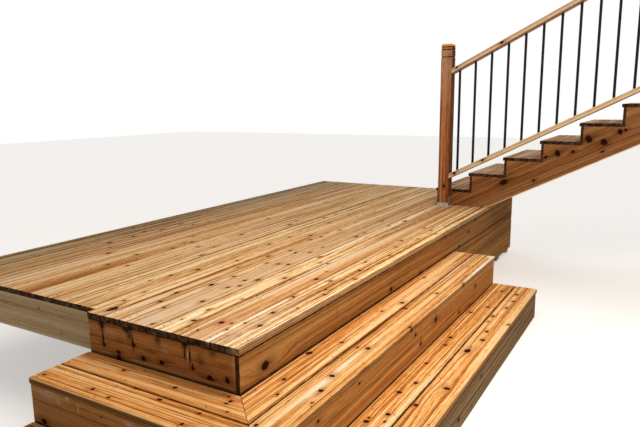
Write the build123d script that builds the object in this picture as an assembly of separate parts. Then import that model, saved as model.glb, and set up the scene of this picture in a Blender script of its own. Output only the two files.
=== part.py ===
from build123d import *
import math
import os

# Wooden deck stairs: a low cedar deck with two box steps wrapped round its open corner,
# and a straight upper flight that climbs from the deck's far end over its front edge.
# Sizes are millimetres. X runs along the deck boards, away from the open end.
# Y runs from the front of the deck to its ledger at the back, and Z is up from the ground.
# Everything is placed from the deck's front corner at its open end, at ground level,
# and the whole is moved at the end so that the origin is under the middle of its box.

# Decking
deck_length = 4110.0
deck_depth = 2052.0
open_end_depth = 812.0
alcove_setback = 40.0
deck_height = 555.0
board_width = 140.0
board_thickness = 25.0
board_gap = 3.0
eased_edge = 3.0
wall_gap = 3.0

# Deck frame
lumber_thickness = 38.0
joist_depth = 184.0
joist_spacing = 406.0
beam_depth = 140.0
beam_from_front = 350.0
post_width = 89.0
deck_post_inset = 240.0
deck_overhang = 4.0
fascia_thickness = 19.0
front_seam_drop = 34.0
fascia_ground_gap = 40.0
end_fascia_lap = 2.0
end_lower_fascia_width = 46.0
cleat_spacing = 430.0

# Box steps
upper_step_height = 379.0
lower_step_height = 192.0
step_length = 2395.0
box_nosing = 5.0
tread_clearance = 3.0
riser_thickness = 19.0
step_bearer_spacing = 400.0
mitre_gap = 2.0
side_upper_riser_width = 62.0

# Upper flight
flight_rise = 137.0
flight_treads = 7
flight_nosing = 11.0
flight_width = 857.0
flight_wall_gap = 10.0
first_riser_face = 430.0
stringer_width = 280.0
header_depth = 235.0

# Rail
newel_south = 306.0
newel_top = 1853.0
newel_chamfer = 9.0
groove_depth = 5.0
groove_half_width = 5.0
groove_drops = (38.0, 100.0)
base_height = 28.0
base_plate = 3.0
base_inset = 3.0
strap_width = 60.0
strap_height = 50.0
rail_thickness = 38.0
bottom_rail_lift = 24.0
top_rail_lift = 860.0
baluster_diameter = 19.0
baluster_spacing = 124.0
first_baluster_gap = 56.0
upper_newel_above_rail = 190.0

# Worked out from the sizes above
board_pitch = board_width + board_gap
tread_depth = 2 * board_width + board_gap
flight_run = tread_depth - flight_nosing
joist_top = deck_height - board_thickness
joist_bottom = joist_top - joist_depth
fascia_face = deck_overhang
rim_face = fascia_face + fascia_thickness
rim_back = rim_face + lumber_thickness
ledger_front = deck_depth - lumber_thickness

upper_tread_front = -(tread_clearance + tread_depth)
upper_riser_face = upper_tread_front + box_nosing
upper_riser_back = upper_riser_face + riser_thickness
lower_tread_back = upper_riser_face - tread_clearance
lower_tread_front = lower_tread_back - tread_depth
lower_riser_face = lower_tread_front + box_nosing
lower_riser_back = lower_riser_face + riser_thickness
upper_bearing = upper_step_height - board_thickness
lower_bearing = lower_step_height - board_thickness
front_seam = upper_bearing - front_seam_drop
end_fascia_foot = upper_bearing - end_fascia_lap
end_seam = end_fascia_foot + end_lower_fascia_width
side_leg_end = open_end_depth - wall_gap
end_panel_face = step_length - box_nosing
end_panel_back = end_panel_face - riser_thickness

slope = flight_rise / flight_run
slope_angle = math.atan(slope)
flight_far = deck_length - flight_wall_gap
flight_face = flight_far - flight_width
first_cut = first_riser_face - riser_thickness
top_cut = first_cut - flight_treads * flight_run
top_bearing = deck_height + (flight_treads + 1) * flight_rise - board_thickness
newel_face = flight_face - post_width
newel_north = newel_south + post_width
newel_foot = deck_height + base_height
header_back = top_cut - lumber_thickness
upper_newel_north = header_back + post_width


def block(x0, x1, y0, y1, z0, z1):
    size = Box(x1 - x0, y1 - y0, z1 - z0, align=(Align.MIN, Align.MIN, Align.MIN))
    return Pos(x0, y0, z0) * size


def ease(board, axis):
    # Rounds the four long edges of a sawn board.
    return fillet(board.edges().filter_by(axis), eased_edge)


def steps_of(start, stop, spacing):
    # Places from start, one spacing apart, that stay short of stop.
    places = []
    place = start
    while place < stop:
        places.append(place)
        place = place + spacing
    return places


def swapped(points):
    # The same outline on the deck's other open side: X and Y change places.
    return [(y, x) for x, y in points]


def outline_up(points, z0, z1):
    # A plan outline, extruded from one height to another.
    face = make_face(Polyline(*points, close=True))
    return Pos(0, 0, z0) * extrude(face, z1 - z0, dir=(0, 0, 1))


def outline_across_x(points, x0, x1):
    # An outline in Y and Z, extruded along X.
    face = make_face(Polyline(*[(0, y, z) for y, z in points], close=True))
    return Pos(x0, 0, 0) * extrude(face, x1 - x0, dir=(1, 0, 0))


def nose_height(y):
    # Height of the line through the flight's nosings.
    return deck_height + flight_rise + (first_riser_face + flight_nosing - y) * slope


def deck_boards():
    boards = []
    for near in steps_of(0.0, deck_depth - board_gap, board_pitch):
        far = min(near + board_width, deck_depth)
        start = 0.0 if near < open_end_depth else alcove_setback + wall_gap
        board = ease(block(start, deck_length, near, far, joist_top, deck_height), Axis.X)
        if near < open_end_depth < far:
            corner = open_end_depth - wall_gap
            notch = block(0, alcove_setback + wall_gap, corner, far, joist_top, deck_height)
            board = board - notch
        boards.append(board)
    return boards


def joist_places():
    places = steps_of(rim_back, deck_length - 2 * lumber_thickness, joist_spacing)
    return places + [deck_length - lumber_thickness]


def deck_joists():
    joists = []
    for x in joist_places():
        far = x + lumber_thickness
        joists.append(block(x, far, rim_back, ledger_front, joist_bottom, joist_top))
    return joists


def deck_front_rim():
    return [block(rim_face, deck_length, rim_face, rim_back, joist_bottom, joist_top)]


def deck_end_rim():
    return [block(rim_face, rim_back, rim_back, side_leg_end, joist_bottom, joist_top)]


def deck_ledger():
    start = alcove_setback + wall_gap
    return [block(start, deck_length, ledger_front, deck_depth, joist_bottom, joist_top)]


def deck_beam():
    back = beam_from_front + 2 * lumber_thickness
    bottom = joist_bottom - beam_depth
    return [block(rim_back, deck_length, beam_from_front, back, bottom, joist_bottom)]


def deck_post(centre):
    middle = beam_from_front + lumber_thickness
    half = post_width / 2
    top = joist_bottom - beam_depth
    return [block(centre - half, centre + half, middle - half, middle + half, 0, top)]


def front_fascia_upper():
    return [block(fascia_face, deck_length, fascia_face, rim_face, front_seam, joist_top)]


def front_fascia_lower():
    bottom = fascia_ground_gap
    return [block(end_panel_face, deck_length, fascia_face, rim_face, bottom, front_seam)]


def skirt_cleats():
    last = deck_length - post_width
    places = steps_of(end_panel_face, last - post_width, cleat_spacing) + [last]
    return [block(x, x + post_width, rim_face, rim_back, 0, joist_bottom) for x in places]


def end_fascia_upper():
    return [block(fascia_face, rim_face, rim_face, side_leg_end, end_seam, joist_top)]


def end_fascia_lower():
    return [block(fascia_face, rim_face, rim_face, side_leg_end, end_fascia_foot, end_seam)]


def tread_outline(back, front, far_end):
    # One mitred board of the front leg. The mitre runs through the deck's corner at 45 degrees.
    shift = mitre_gap / math.sqrt(2)
    return [(back + shift, back), (far_end, back), (far_end, front), (front + shift, front)]


def step_treads(back, height):
    # Two boards along the front leg and two along the side leg.
    bearing = height - board_thickness
    front = []
    side = []
    for row in (0, 1):
        inner = back - row * board_pitch
        outer = inner - board_width
        front_outline = tread_outline(inner, outer, step_length)
        side_outline = swapped(tread_outline(inner, outer, side_leg_end))
        front.append(ease(outline_up(front_outline, bearing, height), Axis.X))
        side.append(ease(outline_up(side_outline, bearing, height), Axis.Y))
    return front, side


def front_riser(face, bottom, top):
    return [block(face, end_panel_face, face, face + riser_thickness, bottom, top)]


def side_riser(face, bottom, top):
    back = face + riser_thickness
    return [block(face, back, back, side_leg_end, bottom, top)]


def bearer_places(far_end):
    # One bearer near the mitre, then one spacing apart, with the last one flush at the far end.
    last = far_end - lumber_thickness
    return steps_of(lumber_thickness, last - lumber_thickness, step_bearer_spacing) + [last]


def step_bearers(front_edge, bottom, top):
    # Blocks on edge under the treads: across both legs of the step, and one under the mitre.
    bearers = []
    for x in bearer_places(end_panel_back):
        far = x + lumber_thickness
        bearers.append(block(x, far, front_edge, fascia_face, bottom, top))
    for y in bearer_places(side_leg_end):
        far = y + lumber_thickness
        bearers.append(block(front_edge, fascia_face, y, far, bottom, top))
    half = lumber_thickness / 2
    reach = front_edge * math.sqrt(2) + half
    corner = block(reach, fascia_face * math.sqrt(2), -half, half, bottom, top)
    bearers.append(Rot(0, 0, 45) * corner)
    return bearers


def step_end_board(front_edge, bottom, top):
    return [block(end_panel_back, end_panel_face, front_edge, fascia_face, bottom, top)]


def flight_stringer(x):
    # Sawtooth top edge, plumb top end, level foot on the deck, and a straight lower edge.
    points = [(first_cut, deck_height)]
    for i in range(flight_treads):
        y = first_cut - i * flight_run
        z = deck_height + (i + 1) * flight_rise - board_thickness
        points.append((y, z))
        points.append((y - flight_run, z))
    tip_drop = board_thickness + (flight_nosing + riser_thickness) * slope
    drop = tip_drop + stringer_width / math.cos(slope_angle)
    points.append((top_cut, nose_height(top_cut) - drop))
    toe = first_riser_face + flight_nosing - (drop - flight_rise) / slope
    points.append((toe, deck_height))
    return [outline_across_x(points, x, x + lumber_thickness)]


def flight_tread(i):
    top = deck_height + (i + 1) * flight_rise
    nose = first_riser_face + flight_nosing - i * flight_run
    boards = []
    for row in (0, 1):
        north = nose - row * board_pitch
        south = north - board_width
        board = block(flight_face, flight_far, south, north, top - board_thickness, top)
        boards.append(ease(board, Axis.X))
    return boards


def flight_risers():
    # The first stands on the deck, the others on the stringers' seats behind the tread below them.
    risers = []
    for i in range(flight_treads + 1):
        level = deck_height + i * flight_rise
        bottom = level - board_thickness if i else level
        face = first_riser_face - i * flight_run
        top = level + flight_rise - board_thickness
        risers.append(block(flight_face, flight_far, face - riser_thickness, face, bottom, top))
    return risers


def flight_header():
    bottom = top_bearing - header_depth
    return [block(flight_face, flight_far, header_back, top_cut, bottom, top_bearing)]


def header_post():
    # Stands against the far stringer's inner face, under the header.
    inner = flight_far - lumber_thickness
    top = top_bearing - header_depth
    return [block(inner - post_width, inner, header_back, upper_newel_north, 0, top)]


def groove_cutter(middle, x0, y0):
    # Four wedge-shaped bars that leave a V groove round a square post.
    span = post_width
    cutter = Part()
    for side in range(4):
        wedge = make_face(Polyline(
            (-span / 2, 0, -groove_half_width),
            (-span / 2 + groove_depth, 0, 0),
            (-span / 2, 0, groove_half_width),
            close=True))
        bar = Pos(0, -span / 2, 0) * extrude(wedge, span, dir=(0, 1, 0))
        cutter = cutter + Rot(0, 0, 90 * side) * bar
    return Pos(x0 + span / 2, y0 + span / 2, middle) * cutter


def newel_post(y0, foot, top):
    post = block(newel_face, flight_face, y0, y0 + post_width, foot, top)
    post = chamfer(post.faces().sort_by(Axis.Z)[-1].edges(), newel_chamfer)
    for drop in groove_drops:
        post = post - groove_cutter(top - drop, newel_face, y0)
    return [post]


def newel_base():
    # Folded metal base: a plate under the post on two skirts, with a strap up each side.
    x0 = newel_face + base_inset
    x1 = flight_face - base_inset
    y0 = newel_south - base_plate
    y1 = newel_north + base_plate
    middle = (newel_face + flight_face) / 2
    base = block(x0, x1, y0, y1, newel_foot - base_plate, newel_foot)
    base = base + block(x0, x0 + base_plate, y0, y1, deck_height, newel_foot)
    base = base + block(x1 - base_plate, x1, y0, y1, deck_height, newel_foot)
    low = middle - strap_width / 2
    high = middle + strap_width / 2
    top = newel_foot + strap_height
    for near, far in ((y0, newel_south), (newel_north, y1)):
        base = base + block(low, high, near, far, newel_foot - base_plate, top)
    return [base]


def sloped_bar(lift, thickness):
    # A flat-laid rail, cut plumb at both newels, its underside a fixed lift over the nosings.
    rise = thickness / math.cos(slope_angle)
    low = newel_south
    high = upper_newel_north
    points = [
        (low, nose_height(low) + lift),
        (low, nose_height(low) + lift + rise),
        (high, nose_height(high) + lift + rise),
        (high, nose_height(high) + lift),
    ]
    return outline_across_x(points, newel_face, flight_face)


def rail(lift):
    bar = sloped_bar(lift, rail_thickness)
    run = Vector(0, -1, slope).normalized()
    long_edges = bar.edges().filter_by(lambda e: abs(e.tangent_at(0.5).dot(run)) > 0.999)
    return [fillet(long_edges, eased_edge)]


def balusters():
    # Round bars between the rails, cut on the slope where they meet them.
    rise = rail_thickness / math.cos(slope_angle)
    between = (top_rail_lift - bottom_rail_lift - rise) * math.cos(slope_angle)
    space = sloped_bar(bottom_rail_lift + rise, between)
    middle = newel_face + post_width / 2
    length = top_rail_lift + flight_rise
    bars = []
    y = newel_south - first_baluster_gap
    while y > upper_newel_north + baluster_diameter:
        bar = Pos(middle, y, nose_height(y) + bottom_rail_lift) * Cylinder(
            baluster_diameter / 2, length, align=(Align.CENTER, Align.CENTER, Align.MIN))
        bars.append(bar & space)
        y = y - baluster_spacing
    return bars


def upper_newel():
    top = nose_height(upper_newel_north) + top_rail_lift + upper_newel_above_rail
    return newel_post(upper_newel_north - post_width, 0, top)


def newel():
    return newel_post(newel_south, newel_foot, newel_top)


upper_front_treads, upper_side_treads = step_treads(-tread_clearance, upper_step_height)
lower_front_treads, lower_side_treads = step_treads(lower_tread_back, lower_step_height)
side_seam = upper_bearing - side_upper_riser_width

nodes = {
    "deck_boards": deck_boards(),
    "deck_joists": deck_joists(),
    "deck_front_rim": deck_front_rim(),
    "deck_end_rim": deck_end_rim(),
    "deck_ledger": deck_ledger(),
    "deck_beam": deck_beam(),
    "deck_post_near": deck_post(rim_back + deck_post_inset),
    "deck_post_middle": deck_post((rim_back + deck_length) / 2),
    "deck_post_far": deck_post(deck_length - deck_post_inset),
    "front_fascia_upper": front_fascia_upper(),
    "front_fascia_lower": front_fascia_lower(),
    "skirt_cleats": skirt_cleats(),
    "end_fascia_upper": end_fascia_upper(),
    "end_fascia_lower": end_fascia_lower(),
    "upper_step_front_treads": upper_front_treads,
    "upper_step_side_treads": upper_side_treads,
    "lower_step_front_treads": lower_front_treads,
    "lower_step_side_treads": lower_side_treads,
    "upper_step_front_riser": front_riser(upper_riser_face, lower_bearing, upper_bearing),
    "upper_step_side_riser_top": side_riser(upper_riser_face, side_seam, upper_bearing),
    "upper_step_side_riser_lower": side_riser(upper_riser_face, lower_bearing, side_seam),
    "lower_step_front_riser": front_riser(lower_riser_face, 0, lower_bearing),
    "lower_step_side_riser": side_riser(lower_riser_face, 0, lower_bearing),
    "upper_step_bearers": step_bearers(upper_riser_back, lower_bearing, upper_bearing),
    "lower_step_bearers": step_bearers(lower_riser_back, 0, lower_bearing),
    "upper_step_end_board": step_end_board(upper_riser_back, lower_bearing, upper_bearing),
    "lower_step_end_board": step_end_board(lower_riser_back, 0, lower_bearing),
    "near_stringer": flight_stringer(flight_face),
    "middle_stringer": flight_stringer((flight_face + flight_far - lumber_thickness) / 2),
    "far_stringer": flight_stringer(flight_far - lumber_thickness),
    "flight_risers": flight_risers(),
    "flight_header": flight_header(),
    "header_post": header_post(),
    "newel": newel(),
    "newel_base": newel_base(),
    "upper_newel": upper_newel(),
    "top_rail": rail(top_rail_lift),
    "bottom_rail": rail(bottom_rail_lift),
    "balusters": balusters(),
}
for i in range(flight_treads):
    nodes[f"flight_tread_{i + 1}"] = flight_tread(i)

# The origin is at the middle of the whole outline on the ground.
west_side = lower_tread_front
south_side = header_back
middle_x = (west_side + deck_length) / 2
middle_y = (south_side + deck_depth) / 2
to_origin = Pos(-middle_x, -middle_y, 0)

os.makedirs("parts", exist_ok=True)
for name, solids in nodes.items():
    placed = [to_origin * solid for solid in solids]
    shape = placed[0] if len(placed) == 1 else Compound(children=placed)
    shape.label = name
    export_step(shape, f"parts/{name}.step")
    print(name, len(placed))
print("the origin is", round(middle_x, 1), round(middle_y, 1), "from the deck corner")
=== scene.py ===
# Wooden deck stairs: cedar boards, posts, rails and bars, dressed round the fixed frame.
import math

import bpy
import numpy as np
from mathutils import Matrix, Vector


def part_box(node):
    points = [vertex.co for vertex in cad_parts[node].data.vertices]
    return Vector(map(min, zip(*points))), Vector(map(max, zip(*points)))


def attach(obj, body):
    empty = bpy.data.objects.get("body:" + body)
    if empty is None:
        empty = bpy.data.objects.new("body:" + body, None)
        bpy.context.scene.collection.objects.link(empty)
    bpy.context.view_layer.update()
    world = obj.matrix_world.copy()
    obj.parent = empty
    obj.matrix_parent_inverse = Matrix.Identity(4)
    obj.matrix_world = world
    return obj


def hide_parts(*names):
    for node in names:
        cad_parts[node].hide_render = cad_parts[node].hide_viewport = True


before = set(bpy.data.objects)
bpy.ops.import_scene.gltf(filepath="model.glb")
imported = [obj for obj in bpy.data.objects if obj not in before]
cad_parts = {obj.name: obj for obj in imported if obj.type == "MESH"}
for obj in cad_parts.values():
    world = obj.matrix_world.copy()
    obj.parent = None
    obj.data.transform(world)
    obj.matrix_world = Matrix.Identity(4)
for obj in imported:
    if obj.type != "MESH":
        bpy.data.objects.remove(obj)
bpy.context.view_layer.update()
print("frame loaded:", len(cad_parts), "nodes")


# Small tools

touching = 1e-4  # metres: what lies nearer than this is in one place


def seedOf(name):
    # The same random draws each run, and others for each name.
    return sum((i + 1) * b for i, b in enumerate(name.encode()))


def linearColour(hexText):
    # sRGB hex to linear light: c / 12.92 below 0.04045, else ((c + 0.055) / 1.055) ** 2.4.
    channels = [int(hexText[i:i + 2], 16) / 255 for i in (1, 3, 5)]
    return [c / 12.92 if c <= 0.04045 else ((c + 0.055) / 1.055) ** 2.4 for c in channels] + [1]


def feed(tree, node, links):
    # Gives each input a value, a colour in hex or another node's output.
    for socket, value in links.items():
        if isinstance(value, bpy.types.NodeSocket):
            tree.links.new(value, node.inputs[socket])
        else:
            node.inputs[socket].default_value = linearColour(value) if isinstance(value, str) else value


def addNode(tree, kind, *values, output=0, stops=(), **settings):
    # Adds one shader node. A second word of its kind is its operation. The values go to its
    # inputs in order, or to those that a dictionary names.
    kind, *operation = kind.split()
    node = tree.nodes.new("ShaderNode" + kind)
    if operation:
        node.operation = operation[0]
    for name, value in settings.items():
        setattr(node, name, value)
    feed(tree, node, values[0] if values and isinstance(values[0], dict) else dict(enumerate(values)))
    if stops:
        ramp = node.color_ramp
        while len(ramp.elements) < len(stops):
            ramp.elements.new(0.5)
        for element, (place, colour) in zip(ramp.elements, stops):
            element.position = place
            element.color = linearColour(colour) if isinstance(colour, str) else [colour] * 3 + [1]
    return node.outputs[output]


def newMaterial(name):
    material = bpy.data.materials.new(name)
    material.use_nodes = True
    return material, material.node_tree, material.node_tree.nodes["Principled BSDF"]


def posed(name, data, axes, place):
    # Adds an object with its own x, y and z axes at a place.
    thing = bpy.data.objects.new(name, data)
    thing.matrix_world = Matrix([[*axis, 0] for axis in axes] + [[*place, 1]]).transposed()
    bpy.context.scene.collection.objects.link(thing)
    return thing


# Camera: where the photograph was taken from

camera = {
    "place": (-3.3427, -1.5325, 1.4136),  # metres
    "yaw": 59.325,  # degrees from +Y towards +X
    "pitchDown": 10.541,
    "roll": -0.648,
    "focalPixels": 599.7,
    "frameWidth": 640,
    "frameHeight": 427,
    "sensor": 36.0,  # millimetres
    "farthest": 100,  # metres that it sees
}


def viewAxes():
    # Right, up and forward of the camera, from its yaw, pitch and roll.
    yaw, pitch, roll = (math.radians(camera[key]) for key in ("yaw", "pitchDown", "roll"))
    forward = np.array([math.cos(pitch) * math.sin(yaw), math.cos(pitch) * math.cos(yaw), -math.sin(pitch)])
    right = np.array([math.cos(yaw), -math.sin(yaw), 0])
    up = np.cross(right, forward)
    return (math.cos(roll) * right + math.sin(roll) * up,
            math.cos(roll) * up - math.sin(roll) * right, forward)


def seenOn(axis, level, pixel):
    # The point of the plane axis = level that lies behind a pixel of the photograph.
    right, up, forward = viewAxes()
    ray = (forward * camera["focalPixels"] + right * (pixel[0] - camera["frameWidth"] / 2)
           - up * (pixel[1] - camera["frameHeight"] / 2))
    place = np.array(camera["place"])
    return place + ray * (level - place[axis]) / ray[axis]


def makeCamera():
    right, up, forward = viewAxes()
    data = bpy.data.cameras.new("camera")
    data.sensor_width = camera["sensor"]
    data.lens = camera["sensor"] * camera["focalPixels"] / camera["frameWidth"]
    data.clip_end = camera["farthest"]
    bpy.context.scene.camera = posed("camera", data, (right, up, -forward), camera["place"])


makeCamera()
print("camera made")


# Stage: pale floor, soft light

stage = {
    "floorSize": 40.0,
    "floorColour": "#efedea",
    "floorRoughness": 0.9,
    "floorGlow": 0.52,  # only to the camera, so that the floor looks pale
    "backdropColour": "#ffffff",  # behind the floor, only to the camera and in mirrors
    "ambient": 0.24,
    "ambientColour": "#eef2f8",
    "skyFrom": (0.35, -0.36, 1.0),  # towards the broad soft light
    "skySpread": 60.0,  # degrees
    "skyLevel": 0.28,  # 1 shows a level face as it is written
    "skyColour": "#fff8f0",
    "softboxPlace": (-1.0, -1.15, 2.9),  # metres, above the near corner
    "softboxAim": (-1.0, -0.7, 0.4),
    "softboxSize": 1.6,
    "softboxPower": 57.0,  # watts
    "softboxColour": "#fff3e2",
}


def aimed(lamp, colour, place, towards):
    # A lamp at a place looks against its own z axis, so its back is turned to where it looks.
    lamp.color = linearColour(colour)[:3]
    back = np.array(place, float) - np.array(towards, float)
    back = back / np.linalg.norm(back)
    side = np.cross((0, 1, 0), back)
    side = side / np.linalg.norm(side)
    posed(lamp.name, lamp, (side, np.cross(back, side), back), place).visible_camera = False


def makeStage():
    half = stage["floorSize"] / 2
    mesh = bpy.data.meshes.new("floor")
    corners = [(x * half, y * half, 0) for x, y in ((-1, -1), (1, -1), (1, 1), (-1, 1))]
    mesh.from_pydata(corners, [], [(0, 1, 2, 3)])
    floor = posed("floor", mesh, np.eye(3), (0, 0, 0))
    material, tree, shader = newMaterial("paleFloor")
    feed(tree, shader, {"Base Color": stage["floorColour"], "Roughness": stage["floorRoughness"]})
    path = addNode(tree, "LightPath").node.outputs
    glow = addNode(tree, "Emission", stage["floorColour"], stage["floorGlow"])
    lit = addNode(tree, "AddShader", shader.outputs[0], glow)
    lit = addNode(tree, "MixShader", path["Is Camera Ray"], shader.outputs[0], lit)
    feed(tree, tree.nodes["Material Output"], {0: lit})
    mesh.materials.append(material)

    world = bpy.data.worlds.new("studio")
    bpy.context.scene.world = world
    world.use_nodes = True
    tree = world.node_tree
    tree.nodes.clear()
    path = addNode(tree, "LightPath").node.outputs
    seen = addNode(tree, "Math MAXIMUM", path["Is Camera Ray"], path["Is Glossy Ray"])
    seen = addNode(tree, "Math MAXIMUM", seen, path["Is Transmission Ray"])
    light = addNode(tree, "Background", stage["ambientColour"], stage["ambient"])
    backdrop = addNode(tree, "Background", stage["backdropColour"], 1.0)
    sight = addNode(tree, "MixShader", seen, light, backdrop)
    feed(tree, tree.nodes.new("ShaderNodeOutputWorld"), {0: sight})

    sky = bpy.data.lights.new("sky", "SUN")
    sky.angle = math.radians(stage["skySpread"])
    sky.energy = math.pi * stage["skyLevel"]
    aimed(sky, stage["skyColour"], stage["skyFrom"], (0, 0, 0))
    softbox = bpy.data.lights.new("softbox", "AREA")
    softbox.shape = "SQUARE"
    softbox.size = stage["softboxSize"]
    softbox.energy = stage["softboxPower"]
    aimed(softbox, stage["softboxColour"], stage["softboxPlace"], stage["softboxAim"])


makeStage()
bpy.context.scene.view_settings.view_transform = "Standard"
print("stage made")


# Cedar: western red cedar, planed, oiled and left outdoors

plainLook = {  # what a look has unless it says otherwise
    "knotHeart": "#140804", "knotWood": "#4c2410", "halo": "#ac5f26", "end": "#2b160c",
    "stain": "#1f0f06", "scuff": "#fff2da", "ringSpacing": 0.009, "contrast": 0.75, "balance": 0.45,
    "aside": (0.05, 0.35), "knotsPerSquareMetre": 2, "boardSpread": 0.04, "ruddiest": 0.3,
}
cedarLooks = {
    # tones run from early wood to late wood, and ruddy is the log's heart. aside is how far beside
    # the board the log's axis lies: the farther, the straighter the grain. side is the narrow sides'
    # colour, a painted shade, and arris the eased edges' pale colour, worn and a painted highlight.
    "cedarDecking": {
        "tones": ("#fff0c8", "#f1cf97", "#dbac6d", "#b27a42", "#744219"), "ruddy": "#d68c50",
        # the stain colour on the next line paints only the shade within the gaps
        "arris": "#ecca94", "end": "#2c190d", "stain": "#6b3d18", "scuff": "#fff2dc", "side": "#8a6038",
        "ringSpacing": 0.011, "contrast": 1.4, "balance": 0.43, "knotsPerSquareMetre": 6,
        "boardSpread": 0.03, "ruddiest": 0.15,
    },
    "cedarTread": {
        "tones": ("#ffe9b6", "#f7c884", "#e2a35a", "#b67335", "#733c16"), "ruddy": "#dc8a42",
        "arris": "#f2cb92", "end": "#5a3820", "stain": "#2f180b", "side": "#7d5632", "ringSpacing": 0.012,
        "contrast": 1.25, "aside": (0.25, 0.5), "ruddiest": 0.2,
    },
    "cedarFlight": {
        "tones": ("#f0d9b6", "#dcb98e", "#c2996e", "#9a6c45", "#6b4227"), "ruddy": "#b98464",
        "halo": "#8d5530", "arris": "#f0dcbc", "stain": "#2f180b", "side": "#4a2e1c", "ringSpacing": 0.01,
        "contrast": 1.1, "balance": 0.46, "knotsPerSquareMetre": 3, "boardSpread": 0.06, "ruddiest": 0.5,
    },
    "cedarFascia": {
        "tones": ("#d3a665", "#c08d50", "#ab773d", "#8d5c2c", "#603815"), "ruddy": "#9c5a2a",
        "knotWood": "#4c2412", "halo": "#70401c", "arris": "#d3aa72", "end": "#3c2513",
        "stain": "#2a1408", "scuff": "#c9bba4", "contrast": 0.72, "balance": 0.5, "aside": (0.0, 0.2),
        "boardSpread": 0.05, "ruddiest": 0.2,
    },
    "cedarSkirt": {
        "tones": ("#b3986f", "#9c7f58", "#856845", "#6a4e30", "#412d19"), "ruddy": "#7f5935",
        "knotWood": "#4c2412", "halo": "#5d3c20", "arris": "#b59d7b", "end": "#3c2513",
        "scuff": "#c9b294", "contrast": 0.95, "balance": 0.52, "aside": (0.0, 0.2), "boardSpread": 0.05,
    },
    "cedarCarriage": {
        "tones": ("#cfa173", "#b98754", "#9d693b", "#7a4924", "#4e2a12"), "ruddy": "#92512a",
        "knotHeart": "#0c0503", "knotWood": "#47200f", "halo": "#5a3016", "arris": "#f6cf94",
        # the pale colour on the next line paints the highlight along the carriages' lower edge
        "scuff": "#ffdca6", "balance": 0.52, "aside": (0.1, 0.35), "knotsPerSquareMetre": 1,
        "ruddiest": 0.35,
    },
    "cedarPost": {
        "tones": ("#d49566", "#c07a48", "#a55f33", "#82421d", "#4f230d"), "ruddy": "#a65428",
        # the end colour on the next line is also painted on the newels' heads as a painted highlight
        "knotWood": "#4c2412", "halo": "#6e3315", "arris": "#d9a070", "end": "#ffb75c",
        "scuff": "#d8b89c", "contrast": 1.6, "balance": 0.46, "aside": (0.1, 0.3), "boardSpread": 0.02,
    },
    "cedarRail": {
        "tones": ("#f6d5ac", "#e6b98a", "#cf9c6c", "#a97048", "#6f4024"), "ruddy": "#c39a88",
        "knotHeart": "#1c0b06", "knotWood": "#4f2310", "halo": "#8d4d26", "arris": "#ffe9cc",
        "end": "#e0b988", "stain": "#50290f", "scuff": "#ffe6b8", "ringSpacing": 0.007, "contrast": 1.5,
        "balance": 0.44, "aside": (0.2, 0.4), "boardSpread": 0.02, "ruddiest": 0.1,
    },
    "framingLumber": {
        "tones": ("#ecd8b0", "#dfc598", "#cfaf7e", "#b08a57", "#86643a"), "ruddy": "#c0925f",
        "knotHeart": "#341e10", "knotWood": "#6f4626", "halo": "#976e3f", "arris": "#ead6ae",
        "end": "#9d7a4c", "stain": "#5f4226", "scuff": "#efe3c8", "ringSpacing": 0.008,
        "aside": (0.0, 0.15), "knotsPerSquareMetre": 5, "boardSpread": 0.08,
    },
}
cedarLooks = {name: {**plainLook, **look} for name, look in cedarLooks.items()}
cedarPatterns = {
    # how fine the noise goes, and how often it repeats per metre along each axis of its place
    "wander": (2.0, (0.6, 5.0, 5.0)),
    "ragged": (3.0, (110.0, 110.0, 110.0)),
    "uneven": (1.0, (55.0, 1.0, 0.0)),
    "band": (4.0, (28.0, 0.25, 40.0)),  # bands of 40 mm
    "streak": (4.0, (70.0, 0.45, 40.0)),  # streaks of 15 mm, drawn double so that they show
    "fibre": (2.0, (15.0, 230.0, 230.0)),  # cut fibres, drawn 4 mm wide so that they show
    "fleck": (1.0, (60.0, 260.0, 260.0)),  # dark flecks, 4 mm by 16 mm
    "blotch": (4.0, (22.0, 22.0, 22.0)),
    "worn": (3.0, (9.0, 9.0, 9.0)),
    "thirst": (3.0, (45.0, 45.0, 45.0)),  # of the end grain
}
cedarRanges = {
    # from two values to two others, or to 0 and 1 where no others are given
    "fleck": (0.66, 0.74),
    "line": (0.0, 0.03, 1.0, 0.0),
    "blotch": (0.3, 0.6, 0.3, 1.0),
    "scrapedAndHighlit": (1.1, 1.9),
    "core": (0.95, 1.3, 1.0, 0.0),
    "worn": (0.35, 0.65, 0.0, 0.25),
    "thirst": (0.35, 0.6, 0.82, 1.0),
    "knotLength": (0.0, 1.0, 0.7, 1.15),  # by chance for each knot
    "knotWidth": (0.0, 1.0, 1.15, 0.75),
}
cedarShape = {
    "wander": 0.007,  # how far the rings wander from the log's axis, metres
    "uneven": 0.006,  # how far a run of years closes up or opens out, metres
    "knotPush": 0.8,  # how far a ring is pushed round a knot, in its radii
    "knotRagged": 1.6,
    "knotReach": (0.25, 0.60, 0.0),  # what the way along and across the grain counts
    "heart": ((0.0, "knotWood"), (0.35, "knotHeart"), (0.6, "knotWood"), (0.8, "knotHeart")),
    "year": ((0.0, 0.0), (0.5, 0.1), (0.80, 0.8), (0.92, 1.0), (1.0, 0.0)),
    "tonePlaces": (0.0, 0.3, 0.55, 0.8, 1.0),
    "noiseRoughness": 0.6,
}
cedarWeights = {  # weight and middle value of what makes the wood darker
    "band": (1.3, 0.5),
    "streak": (2.2, 0.5),
    "year": (0.26, 0.33),
    "line": (0.40, 0.15),
    "fibre": (0.9, 0.5),
}
cedarFinish = {  # oiled, not varnished
    "roughness": (0.70, 0.82),  # of pale and of dark wood
    "specular": 0.07,
    "knotDull": 0.8,
    "paintedOwnSideShade": 0.75,  # painted shade on a board's narrow sides where they have a colour of their own, and below where they take a middle tone
    "paintedSameSideShade": 0.15,
    "fleckMix": 0.6,
    "haloMix": 0.75,
    "yearRelief": 0.5,
    "bump": 0.35,
    "reliefDepth": 0.0008,
}


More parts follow.
